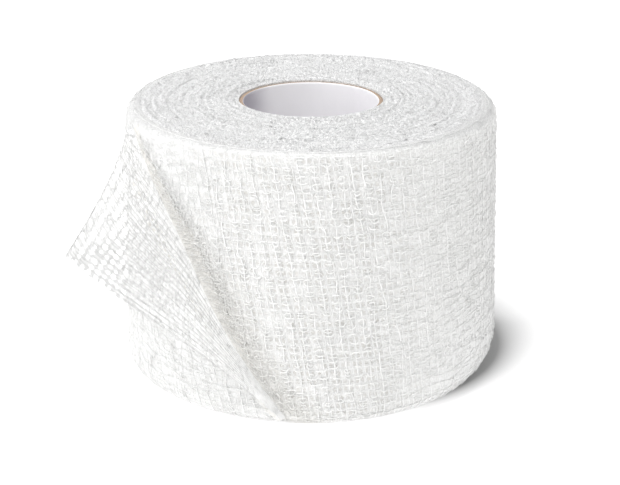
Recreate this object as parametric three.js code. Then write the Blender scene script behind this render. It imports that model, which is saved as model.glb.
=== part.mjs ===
// A cohesive gauze bandage wound on a card core, standing on its end face.
// The corner of the loose end is folded back on itself and stands off the roll.
// Millimetres, +Z up. Azimuth is measured about the roll's axis: 0 faces -Y, and it grows towards +X.
import * as THREE from "three";
import { mergeVertices } from "three/addons/utils/BufferGeometryUtils.js";

// Driving dimensions
const WIDTH = 60; // width of the bandage, which is the height of the standing roll
const OUTER_RADIUS = 40; // of the roll at its top rim
const BASE_SPREAD = 0.03; // share by which the outer turns stand wider at the base
const OUT_OF_ROUND = 0.1; // the soft roll is a little oval, wider from left to right
const UPPER_ROUND = 2.8; // rounding of the top rim
const LOWER_ROUND = { left: 4.6, right: 8.4 }; // rounding of the lower rim, larger at the right
const TOP_DISH = 0.2; // the inner turns lie this much lower than the outer ones

const CORE_BORE_RADIUS = 14.7;
const CORE_WALL = 1;
const CORE_RECESS = { top: 0.5, base: 0.6 }; // the card tube is a little shorter than the bandage is wide
const GAP = 0.3; // between neighbouring pieces

const SHEET = 1; // thickness of the loose end's sheet
const FOLD_RADIUS = 1.15; // of the middle of the sheet, where it turns back
const FOLD_LIFT = { ends: 0.25, middle: 1.3 }; // the fold's height above the turn that it lies on
const ROOT = { top: 12, base: 2.4 }; // length of sheet that lies on the roll before the fold
const ROOT_REST = 0.2; // share of that length which rests before the sheet starts to rise
const CORNER_SHARE = 0.26; // share of the fold's length at which the cut corner stands out
const CURL = 0.3; // radians by which the flap leaves the fold steeper than a straight line would
const BOW = 0.05; // outward bow of the flap, as a share of its length

// The fold runs down the roll's side from the top rim to the base
const FOLD_LINE = [
  { azimuth: -56.3, z: 58.4 },
  { azimuth: -24, z: 34.7 },
  { azimuth: -25.2, z: 19.6 },
  { azimuth: -7.2, z: 4.5 },
];
// The folded corner's free edges: the selvedge from the top rim to the corner, then the cut end to the base
const SELVEDGE = [
  { x: -37.2, y: -20.2, z: 59.3 },
  { x: -40.3, y: -26.4, z: 52.8 },
  { x: -43.2, y: -32.8, z: 45.5 },
  { x: -49.8, y: -40.9, z: 38.5 },
];
const CUT_END = [
  { x: -49.8, y: -40.9, z: 38.5 },
  { x: -36.1, y: -40.8, z: 26.3 },
  { x: -19.9, y: -40.6, z: 16.5 },
  { x: -7.4, y: -43.7, z: 4.2 },
];

const ROUND_STEPS = 96;
const CORE_STEPS = 72;
const STEPS = { lowerRim: 6, side: 4, upperRim: 5, top: 4, bore: 2, base: 3 };
const SHEET_STEPS = { along: 40, root: 5, fold: 7, flap: 12 };

const MATERIALS = {
  gauze: { color: 0xece9e4, roughness: 0.95, metalness: 0 },
  card: { color: 0xa98a63, roughness: 0.85, metalness: 0 },
  looseGauze: { color: 0xf1efec, roughness: 0.95, metalness: 0 },
};

const rollBore = CORE_BORE_RADIUS + CORE_WALL + GAP;
const meanLowerRound = (LOWER_ROUND.left + LOWER_ROUND.right) / 2;
const TINY = 1e-3; // closer points are the same one
const STEP = 1e-3; // for slopes taken by difference
const { degToRad, lerp, smoothstep } = THREE.MathUtils;

function outward(azimuth) {
  return new THREE.Vector3(Math.sin(azimuth), -Math.cos(azimuth), 0);
}

function lowerRoundAt(azimuth) {
  return lerp(LOWER_ROUND.left, LOWER_ROUND.right, 0.5 + 0.5 * Math.sin(azimuth));
}

// How far the side stands out beyond a true cylinder
function swell(azimuth, z) {
  return OUTER_RADIUS * BASE_SPREAD * (1 - z / WIDTH) - OUT_OF_ROUND * Math.cos(2 * azimuth);
}

function sideRadius(azimuth, z) {
  const lower = lowerRoundAt(azimuth);
  const below = Math.max(0, lower - z);
  const above = Math.max(0, z - (WIDTH - UPPER_ROUND));
  const lowerInset = lower - Math.sqrt(Math.max(0, lower ** 2 - below ** 2));
  const upperInset = UPPER_ROUND - Math.sqrt(Math.max(0, UPPER_ROUND ** 2 - above ** 2));
  return OUTER_RADIUS - lowerInset - upperInset + swell(azimuth, z);
}

// Points of an arc from one angle to another, without its last point
function arc(centreX, centreY, radius, from, to, steps) {
  const points = [];
  for (let i = 0; i < steps; i++) {
    const angle = lerp(from, to, i / steps);
    points.push(new THREE.Vector2(centreX + radius * Math.cos(angle), centreY + radius * Math.sin(angle)));
  }
  return points;
}

function line(fromX, fromY, toX, toY, steps) {
  const points = [];
  for (let i = 0; i < steps; i++)
    points.push(new THREE.Vector2(lerp(fromX, toX, i / steps), lerp(fromY, toY, i / steps)));
  return points;
}

// The closed outline of half the roll's section, radius across and height up
function rollSection() {
  const outer = OUTER_RADIUS;
  const lower = meanLowerRound;
  const quarter = Math.PI / 2;
  const dished = WIDTH - TOP_DISH;
  const points = [
    ...line(rollBore, 0, outer - lower, 0, STEPS.base),
    ...arc(outer - lower, lower, lower, -quarter, 0, STEPS.lowerRim),
    ...line(outer, lower, outer, WIDTH - UPPER_ROUND, STEPS.side),
    ...arc(outer - UPPER_ROUND, WIDTH - UPPER_ROUND, UPPER_ROUND, 0, quarter, STEPS.upperRim),
    ...line(outer - UPPER_ROUND, WIDTH, rollBore, dished, STEPS.top),
    ...line(rollBore, dished, rollBore, 0, STEPS.bore),
  ];
  return [...points, points[0].clone()];
}

// Turns the even lathe form into the real one: its own lower rounding at each azimuth, and its swell
function settle(geometry) {
  const position = geometry.getAttribute("position");
  for (let i = 0; i < position.count; i++) {
    const x = position.getX(i);
    const y = position.getY(i);
    const azimuth = Math.atan2(x, -y);
    let radius = Math.hypot(x, y);
    let z = position.getZ(i);
    const inset = OUTER_RADIUS - radius;
    if (z < meanLowerRound + TINY && inset < meanLowerRound + TINY) {
      const grow = lowerRoundAt(azimuth) / meanLowerRound;
      radius = OUTER_RADIUS - inset * grow;
      z *= grow;
    }
    const share = (radius - rollBore) / (OUTER_RADIUS - rollBore);
    const direction = outward(azimuth).multiplyScalar(radius + share * swell(azimuth, z));
    position.setXYZ(i, direction.x, direction.y, z);
  }
  return geometry;
}

function closedForm(geometry) {
  geometry.deleteAttribute("normal");
  geometry.deleteAttribute("uv");
  const merged = mergeVertices(geometry, TINY);
  merged.computeVertexNormals();
  return merged;
}

function woundRoll() {
  const lathe = new THREE.LatheGeometry(rollSection(), ROUND_STEPS).rotateX(Math.PI / 2);
  return closedForm(settle(lathe));
}

function coreTube() {
  const outer = CORE_BORE_RADIUS + CORE_WALL;
  const top = WIDTH - CORE_RECESS.top;
  const lip = 0.15;
  const outline = [
    [CORE_BORE_RADIUS, CORE_RECESS.base],
    [outer, CORE_RECESS.base],
    [outer, top - lip],
    [outer - lip, top],
    [CORE_BORE_RADIUS + lip, top],
    [CORE_BORE_RADIUS, top - lip],
    [CORE_BORE_RADIUS, CORE_RECESS.base],
  ].map(([radius, height]) => new THREE.Vector2(radius, height));
  return closedForm(new THREE.LatheGeometry(outline, CORE_STEPS).rotateX(Math.PI / 2));
}

// Point on the middle of a sheet that lies on the roll, raised by height
function onRoll(azimuth, z, height) {
  const slope = (sideRadius(azimuth, z + STEP) - sideRadius(azimuth, z - STEP)) / (2 * STEP);
  const normal = outward(azimuth).setZ(-slope).normalize();
  const surface = outward(azimuth).multiplyScalar(sideRadius(azimuth, z)).setZ(z);
  return surface.addScaledVector(normal, GAP + SHEET / 2 + height);
}

const vector = ({ x, y, z }) => new THREE.Vector3(x, y, z);
const foldCurve = new THREE.CubicBezierCurve(
  ...FOLD_LINE.map(({ azimuth, z }) => new THREE.Vector2(degToRad(azimuth), z)),
);
const selvedgeCurve = new THREE.CubicBezierCurve3(...SELVEDGE.map(vector));
const cutEndCurve = new THREE.CubicBezierCurve3(...CUT_END.map(vector));

// Place on the fold, u from 0 at the top rim to 1 at the base, and the directions across it
function foldFrame(u) {
  const { x: azimuth, y: z } = foldCurve.getPoint(u);
  const before = foldCurve.getPoint(u - STEP);
  const after = foldCurve.getPoint(u + STEP);
  const along = onRoll(after.x, after.y, 0).sub(onRoll(before.x, before.y, 0)).normalize();
  const out = outward(azimuth);
  const back = along.clone().cross(out).normalize(); // over the roll, away from the fold, to the lower left
  return { azimuth, z, out, back };
}

function freeEdge(u) {
  if (u < CORNER_SHARE) return selvedgeCurve.getPoint(u / CORNER_SHARE);
  return cutEndCurve.getPoint((u - CORNER_SHARE) / (1 - CORNER_SHARE));
}

// Middle line of the loose end across the fold: on the roll, round the fold, and out to the free edge
function looseSection(u) {
  const { azimuth, z, out, back } = foldFrame(u);
  const lift = lerp(FOLD_LIFT.ends, FOLD_LIFT.middle, Math.sin(Math.PI * u));
  const root = lerp(ROOT.top, ROOT.base, u);
  const around = new THREE.Vector3(Math.cos(azimuth), Math.sin(azimuth), 0).dot(back);
  const points = [];
  for (let i = 0; i < SHEET_STEPS.root; i++) {
    const share = i / SHEET_STEPS.root;
    const distance = lerp(root, FOLD_RADIUS, share);
    const height = lift * smoothstep(share, ROOT_REST, 1);
    points.push(onRoll(azimuth + (around * distance) / OUTER_RADIUS, z + back.z * distance, height));
  }
  const centre = onRoll(azimuth, z, lift + FOLD_RADIUS).addScaledVector(back, FOLD_RADIUS);
  const edge = freeEdge(u);
  const reach = edge.clone().sub(centre);
  const leave = Math.atan2(reach.dot(out), reach.dot(back)) + CURL;
  const turn = Math.PI - leave;
  const onFold = (angle) =>
    centre
      .clone()
      .addScaledVector(back, FOLD_RADIUS * Math.cos(angle))
      .addScaledVector(out, FOLD_RADIUS * Math.sin(angle));
  for (let i = 0; i < SHEET_STEPS.fold; i++)
    points.push(onFold(-Math.PI / 2 - (turn * i) / SHEET_STEPS.fold));
  const start = onFold(-Math.PI / 2 - turn);
  const span = start.distanceTo(edge);
  const rise = back.clone().multiplyScalar(Math.cos(leave)).addScaledVector(out, Math.sin(leave));
  const flap = new THREE.CubicBezierCurve3(
    start,
    start.clone().addScaledVector(rise, span / 3),
    edge.clone().lerp(start, 1 / 3).addScaledVector(out, span * BOW),
    edge,
  );
  return [...points, ...flap.getPoints(SHEET_STEPS.flap)];
}

// Gives a grid of middle points a thickness, and closes it all round
function thickSheet(rows, thickness) {
  const across = rows[0].length;
  const positions = [];
  const within = (i, count) => Math.min(Math.max(i, 0), count - 1);
  const at = (i, j) => rows[within(i, rows.length)][within(j, across)];
  for (const side of [0.5, -0.5])
    rows.forEach((row, i) =>
      row.forEach((point, j) => {
        const along = at(i + 1, j).clone().sub(at(i - 1, j));
        const over = at(i, j + 1).clone().sub(at(i, j - 1));
        const normal = along.cross(over).normalize();
        positions.push(...point.clone().addScaledVector(normal, side * thickness).toArray());
      }),
    );
  const index = [];
  const quad = (a, b, c, d) => index.push(a, b, c, a, c, d);
  const upper = (i, j) => i * across + j;
  const lower = (i, j) => (rows.length + i) * across + j;
  const lastRow = rows.length - 1;
  const lastColumn = across - 1;
  for (let i = 0; i < lastRow; i++) {
    for (let j = 0; j < lastColumn; j++) {
      quad(upper(i, j), upper(i + 1, j), upper(i + 1, j + 1), upper(i, j + 1));
      quad(lower(i, j), lower(i, j + 1), lower(i + 1, j + 1), lower(i + 1, j));
    }
    quad(upper(i, 0), lower(i, 0), lower(i + 1, 0), upper(i + 1, 0));
    quad(upper(i, lastColumn), upper(i + 1, lastColumn), lower(i + 1, lastColumn), lower(i, lastColumn));
  }
  for (let j = 0; j < lastColumn; j++) {
    quad(upper(0, j), upper(0, j + 1), lower(0, j + 1), lower(0, j));
    quad(upper(lastRow, j), lower(lastRow, j), lower(lastRow, j + 1), upper(lastRow, j + 1));
  }
  const geometry = new THREE.BufferGeometry();
  geometry.setAttribute("position", new THREE.Float32BufferAttribute(positions, 3));
  geometry.setIndex(index);
  geometry.computeVertexNormals();
  return geometry;
}

function looseEnd() {
  const rows = [];
  for (let i = 0; i <= SHEET_STEPS.along; i++) rows.push(looseSection(i / SHEET_STEPS.along));
  return thickSheet(rows, SHEET);
}

function piece(name, geometry, material) {
  const mesh = new THREE.Mesh(geometry, new THREE.MeshStandardMaterial(material));
  mesh.name = name;
  return mesh;
}

const bandage = new THREE.Group();
bandage.add(
  piece("wound_roll", woundRoll(), MATERIALS.gauze),
  piece("core_tube", coreTube(), MATERIALS.card),
  piece("loose_end", looseEnd(), MATERIALS.looseGauze),
);

// The origin is the middle of the whole part's footprint, on the surface that it stands on
const extent = new THREE.Box3().setFromObject(bandage);
bandage.position.set(-(extent.min.x + extent.max.x) / 2, -(extent.min.y + extent.max.y) / 2, 0);

const part = new THREE.Group();
part.add(bandage);

export default part;
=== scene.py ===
import math

import bpy
import numpy as np
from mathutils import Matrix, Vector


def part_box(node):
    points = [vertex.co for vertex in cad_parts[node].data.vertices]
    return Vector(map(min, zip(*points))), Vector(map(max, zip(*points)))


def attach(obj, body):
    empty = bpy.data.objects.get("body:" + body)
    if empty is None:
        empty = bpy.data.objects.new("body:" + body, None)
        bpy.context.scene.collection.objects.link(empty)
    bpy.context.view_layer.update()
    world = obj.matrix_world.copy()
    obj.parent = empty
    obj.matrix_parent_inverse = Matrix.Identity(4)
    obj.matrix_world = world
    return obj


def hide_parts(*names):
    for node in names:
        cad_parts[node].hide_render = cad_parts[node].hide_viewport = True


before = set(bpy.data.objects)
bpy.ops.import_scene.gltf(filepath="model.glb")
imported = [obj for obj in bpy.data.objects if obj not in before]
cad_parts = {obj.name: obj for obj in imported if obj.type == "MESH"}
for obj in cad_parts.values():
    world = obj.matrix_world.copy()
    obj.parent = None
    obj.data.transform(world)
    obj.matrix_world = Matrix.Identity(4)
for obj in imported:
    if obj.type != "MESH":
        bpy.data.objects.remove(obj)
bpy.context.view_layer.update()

# Sizes in millimetres. The roll's axis is the core's, and azimuth is 0 facing -Y and grows towards +X
MM = 0.001
TURN = 2 * math.pi
core_low, core_high = (np.array(corner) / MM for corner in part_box("core_tube"))
AXIS = np.array([(core_low[0] + core_high[0]) / 2, (core_low[1] + core_high[1]) / 2, 0.0])

WIDTH = 60.0
OUTER_RADIUS = 40.0
BASE_SPREAD = 0.03
OUT_OF_ROUND = 0.1
UPPER_ROUND = {"front": 0.7, "side": 2.8}
LOWER_ROUND = {"left": 4.6, "right": 8.4}
BORE_RADIUS = 14.7
CORE_WALL = 1.0
CORE_TOP = core_high[2]
CORE_BASE = core_low[2]
GAUZE_BORE = BORE_RADIUS + CORE_WALL + 0.04

# The gauze: yarns across its width stand upright on the roll, and rows of fine strands run round it
UPRIGHTS = 97
ROWS = 33
ROW_PITCH = WIDTH / ROWS
UPRIGHT_ENDS = (WIDTH - 0.25, 0.5)
UPRIGHT_YARNS = (
    {"radius": 0.155, "offset": 0.0, "proud": 0.15, "steps": 132},
    {"radius": 0.09, "offset": 0.5, "proud": 0.1, "steps": 88},
)
ROW_STRAND = {"radius": 0.075, "beside_row": 0.33, "proud": 0.1, "steps": 330, "join": 40}
RIM_STRAND = {"radius": 0.08, "down": 0.12, "proud": 0.03, "steps": 400, "join": 30}
LOOP_RADIUS = {"matted": 0.06, "clear": 0.115}
FIBRES = {"over roll": 4000, "by fold": 600, "steps": 8}
BRISTLES = {"count": 3600, "steps": 4, "inside": 16.3, "outside": 38.6, "radius": 0.05}

# How far round the upright yarns lean for each millimetre down, and the azimuth where they lean most
LEAN = 0.17
LEAN_CENTRE = math.radians(-15)

# How clear the yarns are where the turn is matted, and the degrees round between which that changes
MATTED = 0.25
CLEAR_FROM = (-46, -20)
CLEAR_TO = (10, 44)

# The folded corner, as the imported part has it. The crest's points are azimuth in degrees, and height
ROOT = {"top": 12.0, "base": 2.4}
ROOT_HEIGHT = 0.2
CORNER_SHARE = 0.26
CURL = 0.3
BOW = 0.05
CREST_LINE = np.array([(-66.7, 57.9), (-23.3, 32.4), (-44.2, 37.4), (-7.2, 2.9)])
CREST_HEIGHT = {"ends": 0.3, "middle": 1.9}
BAND_WIDTH = {"top": 1.4, "middle": 2.15, "base": 1.2}
BAND_FOOT_HEIGHT = 0.02
FREE_CORNER = (-49.3, -40.9, 38.5)
SELVEDGE = np.array([(-39.3, -9.8, 55.7), (-39.7, -19.5, 52.0), (-43.6, -31.5, 45.7), FREE_CORNER])
CUT_END = np.array([FREE_CORNER, (-36.1, -40.8, 26.3), (-19.9, -40.6, 16.5), (-6.4, -42.8, 3.4)])
CORNER_THREADS = 21
CORNER_ROWS = 32
CORNER_SPREAD = 0.7
CORNER_DEPTH = 27.5
CORNER_LENGTH = 60.0
CREST_LENGTH = 70.0

# A strand's sides, and what share of its radius it tapers to at both ends
TUBE_SIDES = 3
TUBE_END = 0.1

rng = np.random.default_rng(12)


def lerp(a, b, share):
    return a + (b - a) * share


def smooth(x, low, high):
    share = np.clip((x - low) / (high - low), 0, 1)
    return share * share * (3 - 2 * share)


def unit(vectors):
    return vectors / np.maximum(np.linalg.norm(vectors, axis=-1, keepdims=True), 1e-9)


def shares(steps):
    """Even shares from 0 up to the last before 1."""
    return np.linspace(0, 1, steps, endpoint=False)


def evenly_round(steps):
    return TURN * shares(steps)


def outward(azimuth):
    return np.stack([np.sin(azimuth), -np.cos(azimuth), np.zeros_like(azimuth)], axis=-1)


def lower_round(azimuth):
    """The rounding of the lower rim, which widens only towards the right."""
    return lerp(LOWER_ROUND["left"], LOWER_ROUND["right"], (0.5 + 0.5 * np.sin(azimuth)) ** 6)


def upper_round(azimuth):
    return lerp(UPPER_ROUND["front"], UPPER_ROUND["side"], np.sin(azimuth) ** 2)


def side_radius(azimuth, z):
    """The roll's radius: a little more at the base and across the view, and less at the rims."""
    lower = lower_round(azimuth)
    upper = upper_round(azimuth)
    below = np.clip(lower - z, 0, lower)
    above = np.clip(z - (WIDTH - upper), 0, upper)
    lower_inset = lower - np.sqrt(lower**2 - below**2)
    upper_inset = upper - np.sqrt(upper**2 - above**2)
    swell = OUTER_RADIUS * BASE_SPREAD * (1 - z / WIDTH) - OUT_OF_ROUND * np.cos(2 * azimuth)
    return OUTER_RADIUS - lower_inset - upper_inset + swell


def roll_normal(azimuth, z):
    """The way that the roll's side faces."""
    step = 1e-2
    high = np.clip(z + step, 0, WIDTH)
    low = np.clip(z - step, 0, WIDTH)
    slope = (side_radius(azimuth, high) - side_radius(azimuth, low)) / (high - low)
    normal = outward(azimuth)
    normal[..., 2] = -slope
    return unit(normal)


def on_side(azimuth, z, height=0.0):
    """Points that stand a height off the roll's side."""
    azimuth, z, height = np.broadcast_arrays(azimuth, z, np.asarray(height, dtype=float))
    points = outward(azimuth) * side_radius(azimuth, z)[..., None]
    points[..., 2] = z
    return points + roll_normal(azimuth, z) * height[..., None]


def cubic(points, share):
    """Places along the curve that four control points give."""
    s = np.asarray(share, dtype=float)[..., None]
    first_half = (1 - s) ** 3 * points[0] + 3 * s * (1 - s) ** 2 * points[1]
    return first_half + 3 * s**2 * (1 - s) * points[2] + s**3 * points[3]


def leant(start, z):
    """The azimuth at a height of an upright yarn that starts at the top at an azimuth."""
    azimuth = start + 0 * z
    for _ in range(4):
        share = (0.5 + 0.5 * np.cos(azimuth - LEAN_CENTRE)) ** 2
        azimuth = start + LEAN * share * (WIDTH - z) / OUTER_RADIUS
    return azimuth


def clearness(azimuth):
    """1 at the front left, where the yarns stand clear, and less where the outer turn is matted."""
    turned = np.degrees((azimuth + math.pi) % TURN - math.pi)
    return MATTED + (1 - MATTED) * smooth(turned, *CLEAR_FROM) * (1 - smooth(turned, *CLEAR_TO))


def wander(count, steps, knots, size):
    """Smooth random offsets for count lines of some steps each, turning at evenly spaced knots."""
    values = rng.normal(0, size, (count, knots + 3))
    place = np.linspace(0, knots, steps, endpoint=False)
    k = place.astype(int)
    f = (place - k)[None, :]
    before, near, after, beyond = (values[:, k + i] for i in range(4))
    near_share = 3 * f**3 - 6 * f**2 + 4
    after_share = -3 * f**3 + 3 * f**2 + 3 * f + 1
    return ((1 - f) ** 3 * before + near_share * near + after_share * after + f**3 * beyond) / 6


def closed(lines, last):
    """Lines round the roll, whose last steps come back to where each starts."""
    steps = lines.shape[1]
    return lerp(lines, lines[:, :1], smooth(np.arange(steps), steps - last, steps - 1))


def add_object(name, data):
    """A new object in the scene."""
    added = bpy.data.objects.new(name, data)
    bpy.context.scene.collection.objects.link(added)
    return added


# Meshes


def ring_of_four(first, second, onward):
    """Quads of two neighbouring points each, and the two that come some points after them."""
    return np.stack([first, second, second + onward, first + onward], axis=-1)


class Batch:
    """Gathers grids and tubes, so that many small things are one mesh."""

    def __init__(self):
        self.points = []
        self.quads = []
        self.count = 0

    def add(self, points, quads):
        self.points.append(points.reshape(-1, 3))
        self.quads.append(quads.reshape(-1, 4) + self.count)
        self.count += points.size // 3

    def grid(self, points, around=False):
        """A sheet of quads over points[i, j]; around joins the last i to the first."""
        rows, columns = points.shape[:2]
        i = np.arange(rows if around else rows - 1)[:, None]
        j = np.arange(columns - 1)[None, :]
        after = (i + 1) % rows
        self.add(points, ring_of_four(i * columns + j, after * columns + j, 1))

    def tubes(self, paths, out, radius, taper=True):
        """Round tubes along paths[n, k]; out is the way that each stands off the cloth."""
        n, k = paths.shape[:2]
        radius = np.broadcast_to(np.asarray(radius, dtype=float), (n, k)).copy()
        if taper:
            radius[:, [0, -1]] *= TUBE_END
        along = unit(np.gradient(paths, axis=1))
        across = unit(np.cross(along, np.broadcast_to(out, paths.shape)))
        up = np.cross(across, along)
        angles = np.arange(TUBE_SIDES) * TURN / TUBE_SIDES
        ring = across[:, :, None] * np.cos(angles)[:, None] + up[:, :, None] * np.sin(angles)[:, None]
        points = paths[:, :, None] + ring * radius[:, :, None, None]
        start = np.arange(n)[:, None, None] * k * TUBE_SIDES + np.arange(k - 1)[None, :, None] * TUBE_SIDES
        side = np.arange(TUBE_SIDES)[None, None, :]
        self.add(points, ring_of_four(start + side, start + (side + 1) % TUBE_SIDES, TUBE_SIDES))

    def piece(self, name, finish):
        """One mesh object in the frame's metres, with nothing below the table."""
        places = (np.concatenate(self.points) + AXIS) * MM
        places[:, 2] = np.maximum(places[:, 2], 0)
        quads = np.concatenate(self.quads).astype(np.int32)
        mesh = bpy.data.meshes.new(name)
        mesh.vertices.add(len(places))
        mesh.vertices.foreach_set("co", places.astype(np.float32).ravel())
        mesh.loops.add(quads.size)
        mesh.loops.foreach_set("vertex_index", quads.ravel())
        mesh.polygons.add(len(quads))
        mesh.polygons.foreach_set("loop_start", np.arange(0, quads.size, 4, dtype=np.int32))
        mesh.polygons.foreach_set("use_smooth", np.full(len(quads), True))
        mesh.update(calc_edges=True)
        mesh.validate()
        mesh.materials.append(finish)
        piece = add_object(name, mesh)
        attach(piece, "root")
        return piece


# Finishes

COTTON_SHEEN = 0.15
LIGHT_THROUGH = 0.25
HAIR_TWIST = 0.6
CORNER_HEIGHTS = (12.0, 50.0)
CARD_PLY = 0.33
# The grey of painted shade: at the left where the most light falls, over the top rim's rounding, and on
# the corner gauze at its low tip and where it stands free
PAINTED_SHADE_GREY = (0.67, 0.67, 0.668)
# The painted shade beside the fold: its colour, and how far it reaches over the roll in millimetres
FOLD_SHADE = (0.74, 0.725, 0.69)
SHADE_REACH = {"top": 6.5, "base": 9.0}

# The matted turn's colours, at its left and at its right; the left pair is lighter, painted light where
# the corner shades the turn, and the right pair gives a stronger grain
MATT_LIGHT = ((0.97, 0.97, 0.967), (0.95, 0.95, 0.942))
MATT_DARK = ((0.86, 0.86, 0.857), (0.72, 0.717, 0.708))


def sum_node(operation, swap=False):
    """A method for a sum with another value, which adds its Math node."""
    return lambda self, other: self.math(operation, other, swap=swap)


class Wire:
    """A shader value: sums written with it add their Math nodes."""

    __add__ = sum_node("ADD")
    __radd__ = sum_node("ADD", swap=True)
    __sub__ = sum_node("SUBTRACT")
    __rsub__ = sum_node("SUBTRACT", swap=True)
    __mul__ = sum_node("MULTIPLY")
    __rmul__ = sum_node("MULTIPLY", swap=True)
    __truediv__ = sum_node("DIVIDE")
    __pow__ = sum_node("POWER")
    larger = sum_node("MAXIMUM")

    def __init__(self, finish, socket):
        self.finish = finish
        self.socket = socket

    def math(self, operation, *others, swap=False):
        values = (others[0], self) if swap else (self, *others)
        node = self.finish.node("ShaderNodeMath", {"operation": operation}, dict(enumerate(values)))
        return Wire(self.finish, node.outputs[0])

    def __abs__(self):
        return self.math("ABSOLUTE")

    def sin(self):
        return self.math("SINE")

    def cos(self):
        return self.math("COSINE")

    def between(self, low, high):
        """0 below low, 1 above high, and smooth between."""
        limits = {"Value": self, "From Min": low, "From Max": high}
        node = self.finish.node("ShaderNodeMapRange", {"interpolation_type": "SMOOTHSTEP"}, limits)
        return Wire(self.finish, node.outputs[0])


class Finish:
    """A material on one Principled shader, with the nodes that feed it."""

    def __init__(self, name, roughness=1.0, light_through=None):
        self.material = bpy.data.materials.new(name)
        self.material.use_nodes = True
        self.tree = self.material.node_tree
        self.tree.nodes.clear()
        sockets = {"Roughness": roughness, "Specular IOR Level": COTTON_SHEEN}
        self.shader = self.node("ShaderNodeBsdfPrincipled", {}, sockets)
        surface = self.shader.outputs[0]
        if light_through:
            back = self.node("ShaderNodeBsdfTranslucent", {}, {"Color": colour(light_through)}).outputs[0]
            both = {0: LIGHT_THROUGH, 1: surface, 2: back}
            surface = self.node("ShaderNodeMixShader", {}, both).outputs[0]
        output = self.node("ShaderNodeOutputMaterial", {}, {"Surface": surface})
        output.is_active_output = True

    def node(self, kind, settings, sockets):
        """Adds a node: its settings first, then the value or link of each socket."""
        node = self.tree.nodes.new(kind)
        for name, value in settings.items():
            setattr(node, name, value)
        for key, value in sockets.items():
            self.put(node.inputs[key], value)
        return node

    def put(self, socket, value):
        """Sets a socket, or links it."""
        if isinstance(value, Wire):
            value = value.socket
        if isinstance(value, bpy.types.NodeSocket):
            self.tree.links.new(value, socket)
        else:
            socket.default_value = value

    def place(self):
        """The point being shaded, in millimetres about the roll's axis, as three numbers."""
        coordinates = self.node("ShaderNodeTexCoord", {}, {}).outputs["Object"]
        parts = self.node("ShaderNodeSeparateXYZ", {}, {0: coordinates})
        return [Wire(self, parts.outputs[i]) / MM - float(AXIS[i]) for i in range(3)]

    def noise(self, pitch, detail=2.0, roughness=0.5, twist=0.0, at=None):
        """Noise from about 0.3 to 0.7, with lumps a pitch apart in millimetres."""
        if at:
            where = self.node("ShaderNodeCombineXYZ", {}, dict(enumerate(at))).outputs[0]
            scale = 1 / pitch
        else:
            where = self.node("ShaderNodeTexCoord", {}, {}).outputs["Object"]
            scale = 1 / (pitch * MM)
        sockets = {"Vector": where, "Scale": scale, "Detail": detail, "Roughness": roughness}
        sockets["Distortion"] = twist
        node = self.node("ShaderNodeTexNoise", {"noise_dimensions": "3D"}, sockets)
        return Wire(self, node.outputs[0])

    def blotches(self, pitch, twist=0.0):
        """Soft patches of 0 and of 1."""
        return self.noise(pitch, detail=3, twist=twist).between(0.36, 0.64)

    def hairs(self, pitch, width):
        """1 along thin curly lines and 0 between them."""
        field = self.noise(pitch, detail=1, twist=HAIR_TWIST)
        return abs(field - 0.5).between(width, 0.0)

    def blend(self, share, first, second):
        """Colour that goes from first to second."""
        sockets = {0: share, 6: colour(first), 7: colour(second)}
        return self.node("ShaderNodeMix", {"data_type": "RGBA"}, sockets).outputs[2]

    def feed(self, **sockets):
        """Sets or links more of the shader's sockets, and gives the finished material."""
        for name, value in sockets.items():
            self.put(self.shader.inputs[name.replace("_", " ")], value)
        return self.material

    def cover(self, tone, height, depth, strength):
        """Gives the finished material, with a tone and a bump."""
        sockets = {"Height": height, "Distance": depth * MM, "Strength": strength}
        bump = self.node("ShaderNodeBump", {}, sockets).outputs[0]
        return self.feed(Base_Color=tone, Normal=bump)

    def nap(self, tone):
        """Gives the finished material, with the finest fibre of cotton yarn."""
        return self.cover(tone, self.noise(0.16, detail=2), 0.05, 0.6)


def colour(value):
    if isinstance(value, (Wire, bpy.types.NodeSocket)):
        return value
    return (*value, 1.0)


def from_axis(x, y):
    return (x * x + y * y) ** 0.5


def azimuth_at(x, y):
    return x.math("ARCTAN2", 0 - y)


def rim_shade_share(x, y, z):
    """0 on the side, growing to 1 over the rounding of the top rim, which gets painted shade."""
    sideways = x * x / (x * x + y * y)
    upper = sideways * (UPPER_ROUND["side"] - UPPER_ROUND["front"]) + UPPER_ROUND["front"]
    return ((z - WIDTH) / upper + 1).between(0.1, 0.9)


def free_share(x):
    """Half where the corner stands free of the roll, with light behind it, and 0 over the roll; there the
    gauze gets painted shade and the strands painted light.
    """
    return (0 - x).between(38.0, 42.0) * 0.5


def left_painted_shade(x, z):
    """How much painted shade the cotton gets at the left, where the most light falls, and most by the top.
    """
    far = (0 - x).between(22.0, 42.0) * (z * 0.003 + 0.42)
    return far.larger((0 - x).between(5.0, 30.0) * z.between(20.0, 54.0) * 0.3)


def past_crest(x, y, z):
    """How far round the roll a place is to the right of the fold's crest, in millimetres."""
    azimuth, height = cubic(CREST_LINE, np.linspace(0, 1, 60)).T
    a, b, c, d = (float(v) for v in np.polyfit(height, np.radians(azimuth), 3))
    crest = ((z * a + b) * z + c) * z + d
    return (azimuth_at(x, y) - crest) * OUTER_RADIUS


def fold_shade(x, y, z):
    """Painted shade: half beside the fold's foot, fading away from it over the roll, and less towards the
    top.
    """
    past = past_crest(x, y, z)
    low = 1 - z / WIDTH
    reach = low * (SHADE_REACH["base"] - SHADE_REACH["top"]) + SHADE_REACH["top"]
    fading = 1 - ((past - 1.5) / reach).between(0.0, 1.0)
    return past.between(-4.0, 0.0) * fading * low.between(0.0, 0.62) * 0.5


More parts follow.
